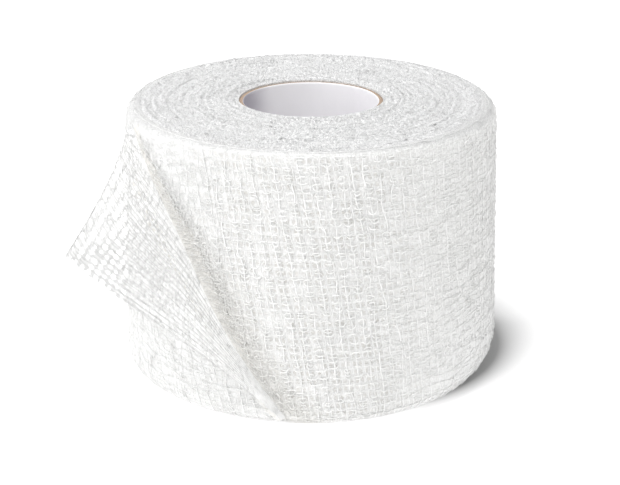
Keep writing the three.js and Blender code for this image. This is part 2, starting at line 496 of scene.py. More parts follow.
def yarn_finish(name, light, dark, pitch=1.2, rim=None, painted_fold_shade=None):
    """Blotched matt cotton, which on the roll gets painted shade at the left, beside the fold and over the
    top rim's rounding.
    """
    finish = Finish(name)
    yarn = finish.blend(finish.blotches(pitch), dark, light)
    if rim:
        x, y, z = finish.place()
        # Painted shade: at the left, beside the fold and over the top rim's rounding
        yarn = finish.blend(left_painted_shade(x, z), yarn, rim)
        yarn = finish.blend(fold_shade(x, y, z), yarn, painted_fold_shade)
        yarn = finish.blend(rim_shade_share(x, y, z), yarn, rim)
    return finish.nap(yarn)


def strand_finish(name, light, dark, upper, at_tip, free):
    """The corner's strands, grey as painted shade along the yarns' edges, with more painted shade high up,
    and painted light at the tip and where they stand free.
    """
    finish = Finish(name)
    x, _, z = finish.place()
    strand = finish.blend(finish.blotches(0.7), dark, light)
    # Painted light at the low tip, painted shade high up, and painted light where the strands stand free
    strand = finish.blend(z.between(17.0, 6.0) * 0.8, strand, at_tip)
    strand = finish.blend(z.between(*CORNER_HEIGHTS), strand, upper)
    return finish.nap(finish.blend(free_share(x), strand, free))


def side_finish(name, fibre, fluff, shade, shaded_gap):
    """The turn under the proud yarns: rows of fluff and hair, and gaps between them, warm from the layers
    beneath and darkened as painted shade.
    """
    finish = Finish(name)
    x, y, z = finish.place()
    azimuth = azimuth_at(x, y)
    turned = (azimuth - LEAN_CENTRE).cos() * 0.5 + 0.5
    column = (azimuth - turned * turned * (WIDTH - z) * (LEAN / OUTER_RADIUS)) * UPRIGHTS
    row = z * (TURN / ROW_PITCH)
    wobble = finish.noise(1.9, detail=2) * 4 - 2
    between_columns = 0.5 - (column * 2 + wobble).cos() * 0.5
    between_rows = 0.5 + (row - wobble * 0.8).cos() * 0.5
    by_rim = (WIDTH - z).between(0.3, 3.0) * 0.4 + 0.6
    right_of_fold = past_crest(x, y, z).between(-3.0, 0.0)
    clear = azimuth.between(*np.radians(CLEAR_FROM)) * (1 - azimuth.between(*np.radians(CLEAR_TO)))
    clear = clear * right_of_fold * (1 - MATTED) + MATTED
    open_share = finish.noise(4.0, detail=3).between(0.3, 0.6) * by_rim * clear
    holes = (between_columns * between_rows).between(0.12, 0.6) * open_share
    strokes = finish.noise(1.0, detail=2, at=[azimuth * (OUTER_RADIUS / 0.26), z / 0.7])
    strokes = strokes.between(0.35, 0.65)
    hair = finish.hairs(1.0, 0.03).larger(finish.hairs(0.6, 0.035) * 0.7)
    grain = finish.noise(0.28, detail=2, twist=0.3)
    matt = grain.between(0.4, 0.6)
    # Painted light: the matted turn takes its lighter left colours at the left, up to the front, and left
    # of the fold
    right = azimuth.between(*np.radians([-50, -8])) * right_of_fold
    matted = finish.blend(matt, finish.blend(right, *MATT_DARK), finish.blend(right, *MATT_LIGHT))
    under = finish.blend(clear, matted, finish.blend(strokes, shade, fluff))
    # Painted shade in the holes, over the warm tone of the layers beneath
    under = finish.blend(holes * (1 - hair * 0.6), under, shaded_gap)
    under = finish.blend(hair * 0.6 * clear, under, fibre)
    low_right = azimuth.between(0.3, 1.1) * z.between(30.0, 6.0) * 0.8
    under = finish.blend(low_right, under, MATT_LIGHT[0])
    # Painted shade at the left, where the most light falls
    under = finish.blend(left_painted_shade(x, z), under, PAINTED_SHADE_GREY)
    # Painted shade beside the fold, with less of it on the hairs
    under = finish.blend(fold_shade(x, y, z) * (1 - hair * 0.7), under, FOLD_SHADE)
    # Painted shade over the top rim's rounding, with grain in it
    rim = finish.blend(matt, tuple(0.85 * v for v in PAINTED_SHADE_GREY), tuple(1.1 * v for v in PAINTED_SHADE_GREY))
    height = strokes * clear * 0.3 + grain * (1 - clear * 0.7) * 1.4 + hair * 0.5 - holes * 0.4
    return finish.cover(finish.blend(rim_shade_share(x, y, z), under, rim), height, 0.2, 0.8)


def edge_finish(name, light, dark):
    """The end face: the edges of the turns as short crisp strokes of fluff, in faint rings, with painted
    shade towards the right.
    """
    finish = Finish(name)
    x, y, _ = finish.place()
    rings = finish.noise(1.0, detail=2, roughness=0.6, at=[from_axis(x, y) / 0.6, azimuth_at(x, y) * 3.0])
    grain = finish.noise(0.27, detail=2, roughness=0.6, twist=0.3)
    hair = finish.hairs(0.5, 0.05)
    share = (grain * 7.0 + rings * 0.5 - 3.0).between(0.1, 0.9)
    under = finish.blend(hair * 0.4, finish.blend(share, dark, light), light)
    # Painted shade: the face darkens towards the right, away from the light
    under = finish.blend(x.between(0.0, 32.0) * 0.15, under, dark)
    return finish.cover(under, grain + hair * 0.4, 0.4, 1.0)


def cloth_finish(name, light, dark, upper):
    """The corner's gauze, which lets light through, with painted shade high up, at the tip and where it
    stands free.
    """
    finish = Finish(name, light_through=light)
    x, _, z = finish.place()
    dull = finish.blotches(0.7, twist=0.5) * (1 - finish.hairs(0.7, 0.04) * 0.7)
    under = finish.blend(dull, light, dark)
    # Painted shade at the low tip, high up, and where the gauze stands free with light behind it
    under = finish.blend(z.between(6.0, 4.6), under, PAINTED_SHADE_GREY)
    under = finish.blend(z.between(*CORNER_HEIGHTS), under, upper)
    under = finish.blend(free_share(x), under, PAINTED_SHADE_GREY)
    return finish.cover(under, finish.noise(0.35, detail=3), 0.08, 0.6)


def band_finish(name, crest, foot, base):
    """The outside of the fold: fibre brushed along it, in tones of painted shade that deepen at its foot,
    with painted light by the base.
    """
    finish = Finish(name)
    x, y, z = finish.place()
    arc = azimuth_at(x, y) * OUTER_RADIUS
    across = arc * 0.9 + z * 0.43
    along = z * 0.9 - arc * 0.43
    brushed = finish.noise(1.0, detail=2, at=[across / 0.22, along / 1.6]).between(0.34, 0.66)
    off_axis = from_axis(x, y) + z * (BASE_SPREAD * OUTER_RADIUS / WIDTH)
    rise = off_axis.between(OUTER_RADIUS + 1.25, OUTER_RADIUS + 2.9)
    # Painted shade, deepest at the foot where the fold meets the roll
    under = finish.blend(rise * 0.5 + brushed * 0.5, foot, crest)
    under = finish.blend(finish.hairs(0.8, 0.03) * 0.35, under, crest)
    # Painted light by the base
    under = finish.blend(z.between(14.0, 3.0), under, base)
    return finish.cover(under, brushed + finish.noise(0.3, detail=2), 0.08, 0.7)


def paper_finish(name, light, dark):
    """Smooth white liner paper, with painted shade that makes it cool and grey on the left and a little
    duller on the right, and faint clouding.
    """
    finish = Finish(name, roughness=0.55)
    x = finish.place()[0]
    clouds = finish.noise(9.0, detail=3) * 3 - 1.5
    # Painted shade: cool grey at the left of the bore, and a little at its right
    under = finish.blend((x + clouds).between(-15.2, -8.5), dark, light)
    under = finish.blend(x.between(1.0, 12.0) * 0.2, under, dark)
    return finish.cover(under, finish.noise(0.8, detail=2), 0.02, 0.4)


def card_finish(name, light, dark):
    """The bare cut of the card, in thin plies."""
    finish = Finish(name, roughness=0.9)
    x, y, _ = finish.place()
    plies = (from_axis(x, y) * (TURN / CARD_PLY)).sin() * 0.5 + 0.5
    fibre = finish.noise(0.35, detail=3)
    under = finish.blend((plies * 0.5 + fibre * 0.9 - 0.2).between(0.1, 0.9), dark, light)
    return finish.cover(under, fibre, 0.08, 0.8)


# The last two colours of these yarns are painted shade: at the left and the rim, and beside the fold
WHITE_YARN = yarn_finish(
    "white crepe yarn",
    light=(0.97, 0.97, 0.965),
    dark=(0.93, 0.93, 0.92),
    rim=PAINTED_SHADE_GREY,
    painted_fold_shade=(0.84, 0.83, 0.8),
)
STRAND = yarn_finish(
    "fine round strand",
    light=(0.94, 0.94, 0.935),
    dark=(0.87, 0.87, 0.86),
    pitch=0.8,
    rim=PAINTED_SHADE_GREY,
    painted_fold_shade=(0.76, 0.745, 0.71),
)
# Painted shade: the fold's yarn is darker than the other yarn
FOLD_YARN = yarn_finish("fold yarn", light=(0.86, 0.855, 0.84), dark=(0.78, 0.775, 0.76))
RIM_YARN = yarn_finish("rim strand", light=(0.86, 0.86, 0.855), dark=(0.76, 0.76, 0.755))
# The strands' grey is painted shade; upper adds more, and at_tip and free are painted light
CORNER_STRAND = strand_finish(
    "corner strand",
    light=(0.75, 0.75, 0.745),
    dark=(0.58, 0.58, 0.575),
    upper=(0.62, 0.62, 0.615),
    at_tip=(0.93, 0.93, 0.925),
    free=(0.8, 0.8, 0.795),
)
# The gauze's upper colour is painted shade
CORNER_CLOTH = cloth_finish(
    "corner gauze", light=(1.0, 1.0, 0.995), dark=(0.98, 0.98, 0.975), upper=(0.87, 0.87, 0.867)
)
SIDE = side_finish(
    "outer turn",
    fibre=(0.95, 0.95, 0.948),
    fluff=(0.93, 0.93, 0.926),
    shade=(0.8, 0.797, 0.788),
    # The gaps' warm tone, darkened as painted shade
    shaded_gap=(0.71, 0.697, 0.67),
)
TURN_EDGES = edge_finish("turn edges", light=(1.0, 1.0, 1.0), dark=(0.67, 0.67, 0.672))
# The fold's colours are painted shade, darker than the gauze, with painted light by the base
BAND = band_finish(
    "turned fold", crest=(0.72, 0.71, 0.685), foot=(0.68, 0.665, 0.635), base=(0.82, 0.81, 0.785)
)
# The liner's dark colour is painted shade
LINING = paper_finish("liner paper", light=(0.94, 0.93, 0.945), dark=(0.42, 0.4, 0.45))
CARD = card_finish("bare card", light=(0.46, 0.36, 0.28), dark=(0.34, 0.25, 0.19))


# The wound roll

SIDE_STEPS = {"around": 256, "upper": 7, "side": 44, "lower": 9}
SIDE_RIPPLE = 0.025
TOP_FACE = {"around": 420, "across": 60, "relief": 0.13}
BASE_FACE = {"around": 300, "across": 40, "relief": 0.09, "up": 0.28}
BORE_STEPS = 180


def side_heights(azimuth):
    """Heights of the side's rings from the top face to the base, closer together in the roundings."""
    quarter = math.pi / 2
    upper = upper_round(azimuth)[:, None]
    lower = lower_round(azimuth)[:, None]
    top = WIDTH - upper * (1 - np.cos(quarter * shares(SIDE_STEPS["upper"])))
    flat = lerp(WIDTH - upper, lower, shares(SIDE_STEPS["side"]))
    base = lower * (1 - np.cos(np.linspace(quarter, 0, SIDE_STEPS["lower"])))
    return np.concatenate([np.broadcast_to(top, (len(azimuth), top.shape[1])), flat, base], axis=1)


def build_side():
    """The side of the outer turn, with a faint ripple."""
    azimuth = evenly_round(SIDE_STEPS["around"])
    z = side_heights(azimuth)
    ripple = wander(*z.shape, 30, SIDE_RIPPLE)
    batch = Batch()
    batch.grid(on_side(azimuth[:, None], z, ripple), around=True)
    return batch.piece("outer_turn", SIDE)


def end_face(z, up, face):
    """The ring of turn edges at one end, rough where the edges stand proud or sink."""
    azimuth = evenly_round(face["around"])
    share = np.linspace(0, 1, face["across"])
    outer = side_radius(azimuth, np.full_like(azimuth, WIDTH if up > 0 else 0.0))
    radius = lerp(GAUZE_BORE, outer[:, None], share[None, :])
    turns = wander(face["across"], face["around"], 24, 0.9).T
    per_ring = rng.normal(0, 0.6, face["across"])[None, :]
    grain = rng.normal(0, 1.0, radius.shape)
    fade = smooth(share, 0, 0.02) * smooth(1 - share, 0, 0.03)
    height = face["relief"] * (per_ring + turns + 0.6 * grain) * fade
    shift = 0.12 * rng.normal(0, 1.0, radius.shape) * fade
    points = outward(azimuth)[:, None, :] * (radius + shift)[..., None]
    by_rim = smooth(1 - share, 0.85, 1)[None, :]
    swell = lerp(-0.4, 0.25, smooth(np.cos(azimuth), -0.5, 0.8))[:, None] * by_rim
    points[..., 2] = z + up * (height + swell)
    return points


def build_top():
    """The top face, and the wall of the gauze's bore that the core stands in."""
    batch = Batch()
    batch.grid(end_face(WIDTH, 1, TOP_FACE), around=True)
    wall = evenly_round(BORE_STEPS)
    heights = np.array([WIDTH - 0.2, WIDTH - 3, 3, 0.1])
    bore = outward(wall)[:, None, :] * np.full((1, 4, 1), GAUZE_BORE)
    bore[..., 2] = heights[None, :]
    batch.grid(bore[:, ::-1], around=True)
    return batch.piece("top_turn_edges", TURN_EDGES)


def build_base():
    """The base face, just clear of the table."""
    batch = Batch()
    batch.grid(end_face(BASE_FACE["up"], -1, BASE_FACE)[:, ::-1], around=True)
    return batch.piece("base_turn_edges", TURN_EDGES)


def lay_on_side(batch, azimuth, z, height, radius, taper=True):
    """Tubes that stand a height off the roll's side."""
    azimuth, z = np.broadcast_arrays(azimuth, z)
    batch.tubes(on_side(azimuth, z, height), roll_normal(azimuth, z), radius, taper)


def rim_calm(z):
    """1 on the side and 0 at the rims, where the yarns lie flat under the fluff."""
    return smooth(z, 0.3, 3.0) * smooth(WIDTH - z, 0.3, 3.0)


def kinked(count, z, size):
    """Offsets that change way at each row, for count lines at the heights z."""
    knots = rng.normal(0, size, (count, ROWS + 2))
    place = np.clip(z / ROW_PITCH, 0, ROWS + 0.999)
    return np.stack([np.interp(place, np.arange(ROWS + 2), row) for row in knots])


def build_uprights():
    """Bright thick yarns, with a thinner one halfway between each two."""
    batch = Batch()
    for yarn in UPRIGHT_YARNS:
        steps = yarn["steps"]
        start = ((np.arange(UPRIGHTS) + yarn["offset"]) * TURN / UPRIGHTS)[:, None]
        z = np.linspace(*UPRIGHT_ENDS, steps)
        kinks = wander(UPRIGHTS, steps, 9, 0.3) + kinked(UPRIGHTS, z, 0.17)
        z = z[None, :]
        azimuth = leant(start, z) + kinks / OUTER_RADIUS
        clear = rim_calm(z) * clearness(azimuth)
        over_rows = 0.08 * np.cos(TURN * z / ROW_PITCH)
        height = clear * (yarn["proud"] + over_rows + wander(UPRIGHTS, steps, 34, 0.06))
        radius = yarn["radius"] * (1 + wander(UPRIGHTS, steps, 44, 0.25)) * lerp(0.55, 1.0, clear)
        lay_on_side(batch, azimuth, z, height, radius)
    return batch.piece("upright_yarns", WHITE_YARN)


def build_rows():
    """Fine crimped strands along both sides of each row, round the roll."""
    batch = Batch()
    steps = ROW_STRAND["steps"] + 1
    around = np.linspace(0, TURN, steps)
    k = np.arange(ROWS)[:, None]
    for side in (-1, 1):
        z = (k + 0.5) * ROW_PITCH + side * ROW_STRAND["beside_row"]
        drift = wander(ROWS, steps, 60, 0.3) + wander(ROWS, steps, 190, 0.35)
        z = np.clip(z + closed(drift, ROW_STRAND["join"]), 0.45, WIDTH - 0.3)
        crimp = 0.1 * np.cos(UPRIGHTS * around + math.pi * (k % 2))
        height = ROW_STRAND["proud"] + crimp + wander(ROWS, steps, 190, 0.08)
        height = closed(height, ROW_STRAND["join"]) * rim_calm(z)
        lay_on_side(batch, around, z, height, ROW_STRAND["radius"], taper=False)
    return batch.piece("round_strands", STRAND)


def build_rim():
    """The thin bright edge of the outer turn, where the top face ends."""
    batch = Batch()
    steps = RIM_STRAND["steps"] + 1
    around = np.linspace(0, TURN, steps)
    z = WIDTH - RIM_STRAND["down"] - np.abs(closed(wander(1, steps, 90, 0.12), RIM_STRAND["join"]))
    lay_on_side(batch, around, z, RIM_STRAND["proud"], RIM_STRAND["radius"], taper=False)
    return batch.piece("rim_strands", RIM_YARN)


def build_loops():
    """Small hooks and stirrups of yarn where a bright yarn crosses a row."""
    batch = Batch()
    crossings = np.meshgrid(np.arange(UPRIGHTS), np.arange(1, ROWS), np.arange(2), indexing="ij")
    column, row, again = (part.ravel() for part in crossings)
    start = column * TURN / UPRIGHTS
    z = (row + 0.5 - 0.35 * again) * ROW_PITCH + rng.normal(0, 0.22, start.size)
    clear = clearness(leant(start, z))
    keep = rng.random(start.size) < np.where(again == 1, 0.55 * (clear - MATTED), lerp(0.35, 1.0, clear))
    start, z, clear = start[keep], z[keep], clear[keep]
    n = start.size
    stray = lerp(0.9, 0.12, clear)
    z = z + stray * rng.normal(0, 1, n)
    azimuth = leant(start, z) + stray * rng.normal(0, 1, n) / OUTER_RADIUS
    t = np.linspace(-1, 1, 8)[None, :]
    half = rng.uniform(0.5, 1.0, (n, 1))
    way = np.where(rng.random((n, 1)) < 0.62, 1.0, -0.8)
    left, right = rng.uniform(0.0, 1.0, (2, n, 1))
    rise = way * np.where(t < 0, left, right) * np.abs(t) ** 2.2
    across = half * np.sin(t * 1.35) / np.sin(1.35)
    azimuth = azimuth[:, None] + across / OUTER_RADIUS
    z = np.clip(z[:, None] + rise, 0.6, WIDTH - 0.4)
    height = (0.3 + 0.08 * np.cos(t * 2) + rng.normal(0, 0.05, (n, 1))) * lerp(0.3, 1.0, rim_calm(z))
    radius = lerp(LOOP_RADIUS["matted"], LOOP_RADIUS["clear"], clear)[:, None]
    lay_on_side(batch, azimuth, z, height, radius)
    return batch.piece("yarn_loops", WHITE_YARN)


def curls(n, steps, length, turning):
    """Flat curly lines of about one length, as steps across and up from where each starts."""
    heading = rng.uniform(0, TURN, n)[:, None]
    bend = rng.normal(0, turning, n)[:, None] + wander(n, steps, 4, turning * 1.2)
    heading = heading + np.cumsum(bend, axis=1) / steps
    step = (length * rng.uniform(0.5, 1.4, n) / steps)[:, None]
    across = np.cumsum(np.cos(heading) * step, axis=1)
    up = np.cumsum(np.sin(heading) * step, axis=1)
    return across, up


def build_wisps():
    """Loose curly fibres that lie over the outer turn, and more of them beside the fold."""
    batch = Batch()
    n, steps = FIBRES["over roll"], FIBRES["steps"]
    across, up = curls(n, steps, 1.5, 3.8)
    azimuth = rng.uniform(0, TURN, n)[:, None] + across / OUTER_RADIUS
    z = np.clip(rng.uniform(2, WIDTH - 3, n)[:, None] + up, 0.8, WIDTH - 0.8)
    height = (0.2 + wander(n, steps, 4, 0.12)) * lerp(0.3, 1.0, rim_calm(z))
    lay_on_side(batch, azimuth, z, height, rng.uniform(0.05, 0.085, (n, 1)))
    n = FIBRES["by fold"]
    crest = cubic(CREST_LINE, rng.uniform(0.03, 1, n))[:, :, None]
    across, up = curls(n, steps, 1.6, 3.4)
    azimuth = np.radians(crest[:, 0]) + (rng.uniform(1.2, 5.0, (n, 1)) + across) / OUTER_RADIUS
    z = np.clip(crest[:, 1] + 0.8 + up, 0.8, WIDTH - 0.8)
    height = 0.4 + wander(n, steps, 4, 0.15)
    lay_on_side(batch, azimuth, z, height, rng.uniform(0.05, 0.08, (n, 1)))
    return batch.piece("loose_fibres", WHITE_YARN)


def build_bristles():
    """Short fibre ends that stand out of the top face."""
    n, steps = BRISTLES["count"], BRISTLES["steps"]
    batch = Batch()
    azimuth = rng.uniform(0, TURN, n)[:, None]
    radius = np.sqrt(rng.uniform(BRISTLES["inside"] ** 2, BRISTLES["outside"] ** 2, n))[:, None]
    across, up = curls(n, steps, 0.5, 1.2)
    out = outward(azimuth + across / radius)
    points = out * (radius + up)[..., None]
    rise = np.linspace(0, 1, steps)[None, :] * rng.uniform(0.05, 0.25, n)[:, None]
    points[..., 2] = WIDTH - 0.05 + rise
    batch.tubes(points, out, BRISTLES["radius"])
    return batch.piece("top_bristles", STRAND)


# The folded corner


def dot(a, b):
    return (a * b).sum(axis=-1)


def arch(shape, u):
    """A size of the fold that is one value at its ends and another in the middle."""
    return lerp(shape["ends"], shape["middle"], np.sin(math.pi * u))


CORNER_GRID = {"along": 161, "root": 10, "under": 4, "band": 14, "flap": 40}


def corner_surface():
    """The loose end as a grid: along the fold, and from its root over the crest to the free edge."""
    u = np.linspace(0, 1, CORNER_GRID["along"])
    azimuth, z = cubic(CREST_LINE, u).T
    azimuth = np.radians(azimuth)
    along = unit(np.gradient(on_side(azimuth, z), axis=0))
    out = outward(azimuth)
    back = unit(np.cross(along, out))
    around = dot(np.stack([np.cos(azimuth), np.sin(azimuth), np.zeros_like(azimuth)], axis=-1), back)
    crest_height = arch(CREST_HEIGHT, u)
    upper_band = lerp(BAND_WIDTH["top"], BAND_WIDTH["middle"], smooth(u, 0, 0.35))
    band = lerp(upper_band, BAND_WIDTH["base"], smooth(u, 0.6, 1))

    def behind(distance, height):
        return on_side(azimuth + around * distance / OUTER_RADIUS, z + back[:, 2] * distance, height)

    columns = []
    for share in shares(CORNER_GRID["root"]):
        columns.append(behind(lerp(lerp(ROOT["top"], ROOT["base"], u), 0, share), ROOT_HEIGHT))
    for share in shares(CORNER_GRID["under"]):
        columns.append(behind(-band * share, lerp(ROOT_HEIGHT, BAND_FOOT_HEIGHT, share)))
    for share in shares(CORNER_GRID["band"]):
        swelling = share**1.9 * (1.6 - 0.6 * share)
        columns.append(behind(-band * (1 - share), lerp(BAND_FOOT_HEIGHT, crest_height, swelling)))
    crest = behind(0, crest_height)
    selvedge = cubic(SELVEDGE, np.clip(u / CORNER_SHARE, 0, 1))
    cut_end = cubic(CUT_END, np.clip((u - CORNER_SHARE) / (1 - CORNER_SHARE), 0, 1))
    edge = np.where((u < CORNER_SHARE)[:, None], selvedge, cut_end)
    reach = edge - crest
    leave = np.arctan2(dot(reach, out), dot(reach, back)) + CURL
    span = np.linalg.norm(reach, axis=1)[:, None]
    rise = back * np.cos(leave)[:, None] + out * np.sin(leave)[:, None]
    controls = [crest, crest + rise * span / 3, lerp(edge, crest, 1 / 3) + out * span * BOW, edge]
    for share in np.linspace(0, 1, CORNER_GRID["flap"] + 1):
        columns.append(cubic(controls, share))
    return np.stack(columns, axis=1)


CORNER = corner_surface()
CORNER_NORMAL = unit(np.cross(np.gradient(CORNER, axis=1), np.gradient(CORNER, axis=0)))


def on_corner(u, v, height=0.0):
    """Points of the corner. v is 0 on the crest, 1 at the free edge, and -1 where the root turns."""
    u = np.clip(u, 0, 1)
    root = CORNER_GRID["root"]
    fold = CORNER_GRID["under"] + CORNER_GRID["band"]
    on_flap = root + fold + np.clip(v, 0, 1.2) * CORNER_GRID["flap"]
    column = np.where(v < -1, (v + 2) * root, np.where(v < 0, root + (v + 1) * fold, on_flap))
    row = u * (CORNER_GRID["along"] - 1)
    i = np.clip(row.astype(int), 0, CORNER.shape[0] - 2)
    j = np.clip(column.astype(int), 0, CORNER.shape[1] - 2)
    f, g = (row - i)[..., None], (column - j)[..., None]

    def sample(grid):
        return lerp(lerp(grid[i, j], grid[i + 1, j], f), lerp(grid[i, j + 1], grid[i + 1, j + 1], f), g)

    normal = unit(sample(CORNER_NORMAL))
    return sample(CORNER) + normal * np.asarray(height)[..., None], normal


def lay_on_corner(batch, u, v, height, radius):
    """Tubes that stand a height off the corner."""
    points, normal = on_corner(u, v, height)
    batch.tubes(points, normal, radius)


def corner_place(q, s):
    """q is 0 on the crest and 1 on the cut end, and s is 0 on the selvedge and 1 at the low tip."""
    u = lerp(CORNER_SHARE * q, 1.0, s)
    depth = np.minimum(u / CORNER_SHARE, (1 - u) / (1 - CORNER_SHARE))
    return u, q * (1 - s) / np.maximum(depth, 1e-4)


def thread_at(q, s):
    """The thread, from 0 at the fold to 1 on the cut end, that passes a place: the fold cuts some off."""
    return 1 - (1 - q) / (1 + CORNER_SPREAD * s)


def along_thread(thread, s):
    return 1 - (1 - thread) * (1 + CORNER_SPREAD * s)


CLOTH_QUADS = {"per_thread": 7, "per_row": 9}
CLOTH_ROUGHNESS = 0.03
HOLE_KINDS = 2000
THREAD_STRIDE = 53
HOLE = {"across": 0.34, "along": 0.29, "filled": 0.1}


def corner_cloth():
    """The corner's gauze between its yarns, with a hole in most cells."""
    q = np.linspace(0, 1, CORNER_THREADS * CLOTH_QUADS["per_thread"] + 1)
    s = np.linspace(0, 0.999, CORNER_ROWS * CLOTH_QUADS["per_row"] + 1)
    qq, ss = np.meshgrid(q, s, indexing="ij")
    u, v = corner_place(qq, ss)
    points, _ = on_corner(u, v, CLOTH_ROUGHNESS * (1 - ss) * rng.normal(0, 1, u.shape))
    i, j = np.meshgrid(np.arange(len(q) - 1), np.arange(len(s) - 1), indexing="ij")
    middle_q = (q[i] + q[i + 1]) / 2
    middle_s = (s[j] + s[j + 1]) / 2
    on_thread = thread_at(middle_q, middle_s) * CORNER_THREADS
    on_row = middle_s * CORNER_ROWS
    cell = (np.floor(on_thread).astype(int) * THREAD_STRIDE + np.floor(on_row).astype(int)) % HOLE_KINDS
    size = np.clip(rng.normal(1.0, 0.22, HOLE_KINDS), 0.4, 1.35)[cell]
    size = size * np.where(rng.random(HOLE_KINDS) < HOLE["filled"], 0.0, 1.0)[cell]
    slip = rng.normal(0, 0.06, (2, HOLE_KINDS))[:, cell]
    by_fold = smooth(middle_q * (1 - middle_s), 0.08, 0.24)
    across = np.abs(on_thread % 1 - 0.5 + slip[0]) / (HOLE["across"] * size * by_fold + 1e-6)
    along = np.abs(on_row % 1 - 0.5 + slip[1]) / (HOLE["along"] * size * lerp(0.5, 1, by_fold) + 1e-6)
    hole = across**3 + along**3 < 1
    ragged = np.abs(rng.normal(0, 0.012, CORNER_ROWS * 3 + 3))[np.floor(on_row * 3).astype(int)]
    keep = ~hole & (middle_q < 1 - ragged)
    i, j = i[keep], j[keep]
    return points, ring_of_four(i * len(s) + j, (i + 1) * len(s) + j, 1)


def build_corner_cloth():
    """The corner's gauze with the turned fold and the root that goes on round the roll."""
    batch = Batch()
    batch.add(*corner_cloth())
    on_flap = len(batch.quads[0])
    u = np.linspace(0, 1, 200)
    v = np.concatenate([np.linspace(-2, -1, 12), np.linspace(-1, 0, 19)[1:]])
    uu, vv = np.meshgrid(u, v, indexing="ij")
    points, _ = on_corner(uu, vv, CLOTH_ROUGHNESS * rng.normal(0, 1, uu.shape))
    batch.grid(points)
    piece = batch.piece("folded_corner", CORNER_CLOTH)
    piece.data.materials.append(BAND)
    which = np.zeros(len(piece.data.polygons), dtype=np.int32)
    which[on_flap:] = 1
    piece.data.polygons.foreach_set("material_index", which)
    return piece


def lay_corner_yarns(batch):
    """A pair of strands to each upright yarn, which close up and thin towards the low tip."""
    n, steps = CORNER_THREADS + 1, 150
    for side in (-1, 1):
        thread = np.arange(n) / CORNER_THREADS + rng.normal(0, 0.003, n)
        thread = np.clip(thread, 0.01, 0.99)[:, None]
        last = np.minimum((1 / (1 - thread) - 1) / CORNER_SPREAD, 0.985)
        s = np.linspace(0, 1, steps)[None, :] * last
        apart = side * lerp(0.2, 0.05, smooth(s, 0.1, 0.7)) / CORNER_THREADS
        stray = (wander(n, steps, 20, 0.004) + wander(n, steps, 70, 0.006)) * (1 - s)
        q = along_thread(thread + apart, s) + stray
        radius = (0.078 - 0.055 * s) * np.clip(q * 4 + 0.35, 0, 1)
        place = corner_place(np.clip(q, 0.0, 1.0), s)
        lay_on_corner(batch, *place, 0.1 + wander(n, steps, 30, 0.06), radius)


def lay_corner_rows(batch):
    """Three crimped strands along each row of the corner, thin by the fold and at the cut end."""
    n, steps = CORNER_ROWS, 90
    q = np.broadcast_to(np.linspace(0, 1, steps)[None, :], (n, steps))
    for beside in (-0.004, 0.0, 0.004):
        s = (np.arange(n) / CORNER_ROWS)[:, None] + beside
        s = np.clip(s + wander(n, steps, 26, 0.004) + wander(n, steps, 60, 0.006), 0, 0.99)
        by_edges = np.clip(q * 4 + 0.3, 0, 1) * (1 - 0.5 * smooth(q, 0.85, 1))
        radius = np.clip(0.05 - 0.06 * s, 0.012, 1) * by_edges
        lay_on_corner(batch, *corner_place(q, s), 0.04 + wander(n, steps, 30, 0.08), radius)


EDGE_RADIUS = {"selvedge": 0.03, "cut end": 0.028, "loops": 0.035}


def lay_corner_edges(batch):
    """The strands along the selvedge and the cut end, with the loops that hang from the cut end."""
    steps = 140
    share = np.linspace(0, 1, steps)[None, :]
    inset = np.array([0.001, 0.004, 0.012, 0.015])[:, None] + np.abs(wander(4, steps, 50, 0.0015))
    place = corner_place(np.broadcast_to(share, inset.shape), inset)
    lay_on_corner(batch, *place, wander(4, steps, 40, 0.05), EDGE_RADIUS["selvedge"])
    inset = np.array([0.004, 0.02, 0.03])[:, None] + wander(3, steps, 60, 0.008)
    place = corner_place(1 - inset, 0.97 * share + 0 * inset)
    lay_on_corner(batch, *place, wander(3, steps, 40, 0.06), EDGE_RADIUS["cut end"])
    n, steps = 60, 9
    middle = np.sort(rng.uniform(0.01, 0.93, n))[:, None]
    t = np.linspace(-1, 1, steps)[None, :]
    s = np.clip(middle + rng.uniform(0.005, 0.011, (n, 1)) * np.sin(1.9 * t), 0, 0.99)
    hang = rng.uniform(0.2, 0.75, (n, 1)) * np.cos(t * math.pi / 2) ** 0.7
    u, v = corner_place(1 + hang / (CORNER_DEPTH * (1 - s)), s)
    lay_on_corner(batch, u, v, 0.05 * rng.normal(0, 1, (n, 1)), EDGE_RADIUS["loops"])


def lay_corner_curls(batch):
    """Loose curly fibres on the corner."""
    n, steps = 500, 8
    across, up = curls(n, steps, 1.8, 3.4)
    q, s = rng.uniform(0, 1, (n, 1)), 1 - np.sqrt(rng.uniform(0.004, 1, (n, 1)))
    q = np.clip(q + across / (CORNER_DEPTH * (1 - s)), 0, 1)
    u, v = corner_place(q, np.clip(s + up / CORNER_LENGTH, 0, 0.99))
    lay_on_corner(batch, u, v, 0.06 + wander(n, steps, 4, 0.1), 0.045)


def build_corner_strands():
    batch = Batch()
    for lay in (lay_corner_yarns, lay_corner_rows, lay_corner_edges, lay_corner_curls):
        lay(batch)
    return batch.piece("corner_strands", CORNER_STRAND)


BAND_SPAN = (-0.78, -0.03)
BAND_LENGTH = 3.7


